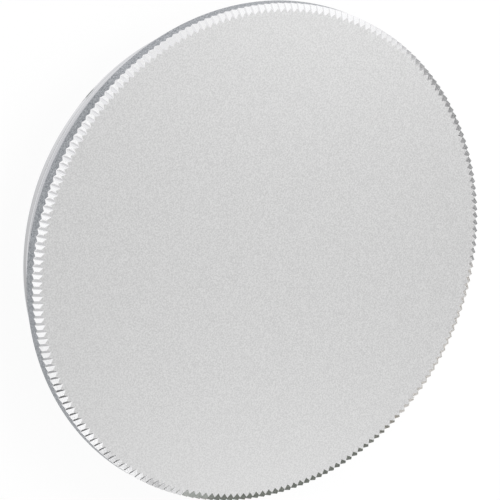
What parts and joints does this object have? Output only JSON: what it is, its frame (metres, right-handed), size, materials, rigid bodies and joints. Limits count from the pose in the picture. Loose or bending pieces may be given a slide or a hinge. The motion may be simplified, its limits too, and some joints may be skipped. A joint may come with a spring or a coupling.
{
  "type": "camera body cap",
  "caption": "Thin round screw-in cap with a finely notched rim and a hollow spigot behind, which closes a camera body's lens mount when no lens is fitted.",
  "frame": {"origin": "centre of the spigot's open end, on the cap's axis, where the cap rests", "axes": "+Z along the cap's axis, from the spigot's open end towards the front face; X and Y lie across the disc"},
  "size_m": [0.046, 0.046, 0.0066],
  "materials": {
    "anodised_aluminium": "bead-blasted and clear anodised, with bright-cut notches around the rim"
  },
  "bodies": {
    "root": {"body_cap": "anodised_aluminium"}
  },
  "joints": []
}
